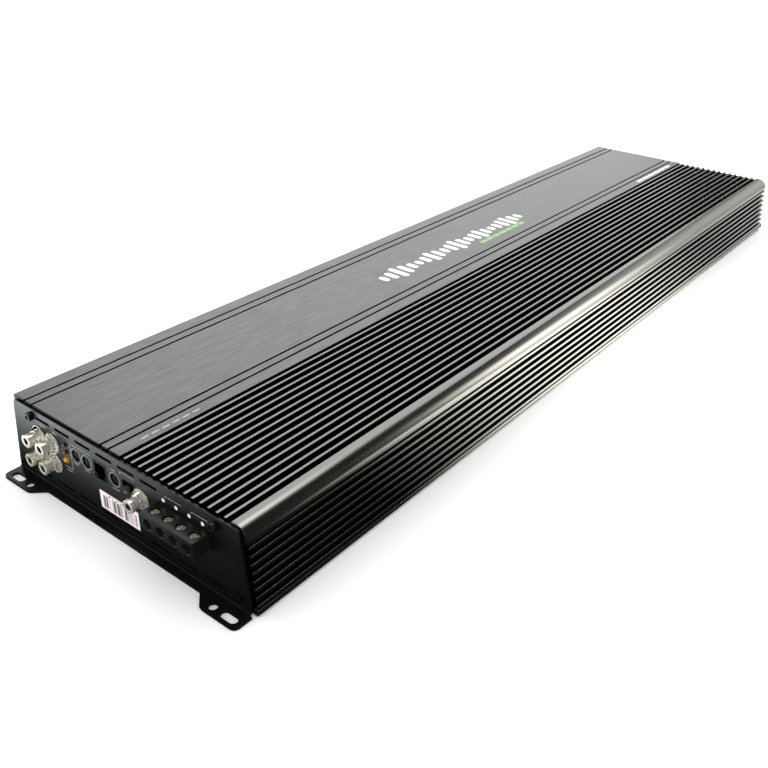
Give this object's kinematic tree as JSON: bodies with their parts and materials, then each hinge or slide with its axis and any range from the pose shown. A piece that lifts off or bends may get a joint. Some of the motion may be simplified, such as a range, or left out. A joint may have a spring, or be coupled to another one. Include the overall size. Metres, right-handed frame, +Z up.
{
  "type": "car amplifier",
  "caption": "Long black finned aluminium car audio amplifier with line jacks, recessed level controls and screw terminals on its end panels and slotted mounting ears.",
  "frame": {"origin": "centre of the footprint, on the plane that the ears and feet stand on", "axes": "+X from the control end to the power end, along the fins; +Y towards the plain side wall, away from the finned side; +Z up"},
  "size_m": [0.805, 0.21, 0.0543],
  "materials": {
    "anodised_black": "black anodised, brushed along its length",
    "powder_black": "semi-gloss black coating on sheet steel",
    "screw_black": "black oxide",
    "board_green": "green solder mask on glass laminate",
    "bare_steel": "zinc plated steel",
    "plated_jack": "pale nickel plate",
    "jack_insulator": "dark red moulded plastic",
    "gold_contact": "gold flashed brass",
    "black_plastic": "moulded black plastic",
    "lamp_amber": "amber clear epoxy",
    "lamp_red": "dark red clear epoxy",
    "lamp_dark": "smoked clear epoxy",
    "control_black": "moulded black plastic",
    "port_black": "glossy black plastic",
    "terminal_black": "satin black moulded plastic",
    "terminal_brass": "nickel plated brass",
    "set_screw_nickel": "nickel plated steel",
    "capacitor_sleeve": "heat-shrunk dark sleeve",
    "copper_winding": "enamelled copper wire",
    "transistor_black": "moulded epoxy",
    "pad_grey": "grey silicone sheet",
    "bar_aluminium": "plain milled aluminium",
    "label_white": "white paper label"
  },
  "bodies": {
    "amplifier": {"heatsink_body": "anodised_black", "control_panel": "powder_black", "power_panel": "powder_black", "bottom_cover": "powder_black", "panel_screws": "screw_black", "cover_screws": "screw_black", "main_board": "board_green", "board_standoffs": "bare_steel", "board_screws": "bare_steel", "control_board": "board_green", "control_board_posts": "bare_steel", "input_jack_shells": "plated_jack", "input_jack_insulators": "jack_insulator", "input_jack_contacts": "gold_contact", "input_jack_block": "black_plastic", "link_jack_shell": "plated_jack", "link_jack_insulator": "jack_insulator", "link_jack_contact": "gold_contact", "link_jack_block": "black_plastic", "power_lamp": "lamp_amber", "protect_lamp": "lamp_red", "clip_lamp": "lamp_dark", "lamp_holder": "black_plastic", "control_pot_bodies": "bare_steel", "remote_port_shell": "port_black", "remote_port_contacts": "gold_contact", "slide_switch_case": "bare_steel", "speaker_terminal_block": "terminal_black", "speaker_clamp_bodies": "terminal_brass", "power_terminal_block": "terminal_black", "power_clamp_bodies": "terminal_brass", "supply_capacitors": "capacitor_sleeve", "rail_capacitors": "capacitor_sleeve", "transformers": "copper_winding", "output_coils": "copper_winding", "power_transistors": "transistor_black", "transistor_pads": "pad_grey", "clamp_bars": "bar_aluminium", "clamp_screws": "bare_steel", "serial_label": "label_white"},
    "gain_control": {"gain_rotor": "control_black"},
    "filter_control": {"filter_rotor": "control_black"},
    "boost_control": {"boost_rotor": "control_black"},
    "phase_switch": {"slide_switch_lever": "control_black"},
    "speaker_pad_1": {"speaker_pad_1": "bare_steel"},
    "speaker_screw_1": {"speaker_screw_1": "set_screw_nickel"},
    "speaker_pad_2": {"speaker_pad_2": "bare_steel"},
    "speaker_screw_2": {"speaker_screw_2": "set_screw_nickel"},
    "speaker_pad_3": {"speaker_pad_3": "bare_steel"},
    "speaker_screw_3": {"speaker_screw_3": "set_screw_nickel"},
    "speaker_pad_4": {"speaker_pad_4": "bare_steel"},
    "speaker_screw_4": {"speaker_screw_4": "set_screw_nickel"},
    "supply_pad": {"supply_pad": "bare_steel"},
    "supply_screw": {"supply_screw": "set_screw_nickel"},
    "ground_pad": {"ground_pad": "bare_steel"},
    "ground_screw": {"ground_screw": "set_screw_nickel"},
    "remote_pad": {"remote_pad": "bare_steel"},
    "remote_screw": {"remote_screw": "set_screw_nickel"}
  },
  "joints": [
    {"name": "gain_control_turn", "type": "hinge", "parent": "amplifier", "child": "gain_control", "pos_m": [-0.3875, 0.039, 0.0369], "axis": [1, 0, 0], "range_deg": [-150, 150]},
    {"name": "filter_control_turn", "type": "hinge", "parent": "amplifier", "child": "filter_control", "pos_m": [-0.3875, 0.0289, 0.0369], "axis": [1, 0, 0], "range_deg": [-150, 150]},
    {"name": "boost_control_turn", "type": "hinge", "parent": "amplifier", "child": "boost_control", "pos_m": [-0.3875, 0.0035, 0.0369], "axis": [1, 0, 0], "range_deg": [-150, 150]},
    {"name": "phase_switch_slide", "type": "slide", "parent": "amplifier", "child": "phase_switch", "axis": [0, 1, 0], "range_m": [0, 0.004]},
    {"name": "speaker_1_pad_travel", "type": "slide", "parent": "amplifier", "child": "speaker_pad_1", "axis": [0, 0, -1], "range_m": [0, 0.00245]},
    {"name": "speaker_1_screw_turn", "type": "hinge", "parent": "speaker_pad_1", "child": "speaker_screw_1", "pos_m": [-0.3947, -0.0383, 0.0369], "axis": [0, 0, -1], "range_deg": [0, 1261]},
    {"name": "speaker_2_pad_travel", "type": "slide", "parent": "amplifier", "child": "speaker_pad_2", "axis": [0, 0, -1], "range_m": [0, 0.00245]},
    {"name": "speaker_2_screw_turn", "type": "hinge", "parent": "speaker_pad_2", "child": "speaker_screw_2", "pos_m": [-0.3947, -0.04843, 0.0369], "axis": [0, 0, -1], "range_deg": [0, 1261]},
    {"name": "speaker_3_pad_travel", "type": "slide", "parent": "amplifier", "child": "speaker_pad_3", "axis": [0, 0, -1], "range_m": [0, 0.00245]},
    {"name": "speaker_3_screw_turn", "type": "hinge", "parent": "speaker_pad_3", "child": "speaker_screw_3", "pos_m": [-0.3947, -0.05856, 0.0369], "axis": [0, 0, -1], "range_deg": [0, 1261]},
    {"name": "speaker_4_pad_travel", "type": "slide", "parent": "amplifier", "child": "speaker_pad_4", "axis": [0, 0, -1], "range_m": [0, 0.00245]},
    {"name": "speaker_4_screw_turn", "type": "hinge", "parent": "speaker_pad_4", "child": "speaker_screw_4", "pos_m": [-0.3947, -0.06869, 0.0369], "axis": [0, 0, -1], "range_deg": [0, 1261]},
    {"name": "supply_pad_travel", "type": "slide", "parent": "amplifier", "child": "supply_pad", "axis": [0, 0, -1], "range_m": [0, 0.00625]},
    {"name": "supply_screw_turn", "type": "hinge", "parent": "supply_pad", "child": "supply_screw", "pos_m": [0.393, 0.03, 0.0302], "axis": [0, 0, -1], "range_deg": [0, 1801]},
    {"name": "ground_pad_travel", "type": "slide", "parent": "amplifier", "child": "ground_pad", "axis": [0, 0, -1], "range_m": [0, 0.00625]},
    {"name": "ground_screw_turn", "type": "hinge", "parent": "ground_pad", "child": "ground_screw", "pos_m": [0.393, 0.004, 0.0302], "axis": [0, 0, -1], "range_deg": [0, 1801]},
    {"name": "remote_pad_travel", "type": "slide", "parent": "amplifier", "child": "remote_pad", "axis": [0, 0, -1], "range_m": [0, 0.00245]},
    {"name": "remote_screw_turn", "type": "hinge", "parent": "remote_pad", "child": "remote_screw", "pos_m": [0.393, -0.018, 0.0279], "axis": [0, 0, -1], "range_deg": [0, 1261]}
  ],
  "couplings": [
    {"joint": "speaker_1_screw_turn", "follows": "speaker_1_pad_travel", "rad_per_m": 8976},
    {"joint": "speaker_2_screw_turn", "follows": "speaker_2_pad_travel", "rad_per_m": 8976},
    {"joint": "speaker_3_screw_turn", "follows": "speaker_3_pad_travel", "rad_per_m": 8976},
    {"joint": "speaker_4_screw_turn", "follows": "speaker_4_pad_travel", "rad_per_m": 8976},
    {"joint": "supply_screw_turn", "follows": "supply_pad_travel", "rad_per_m": 5026.5},
    {"joint": "ground_screw_turn", "follows": "ground_pad_travel", "rad_per_m": 5026.5},
    {"joint": "remote_screw_turn", "follows": "remote_pad_travel", "rad_per_m": 8976}
  ]
}
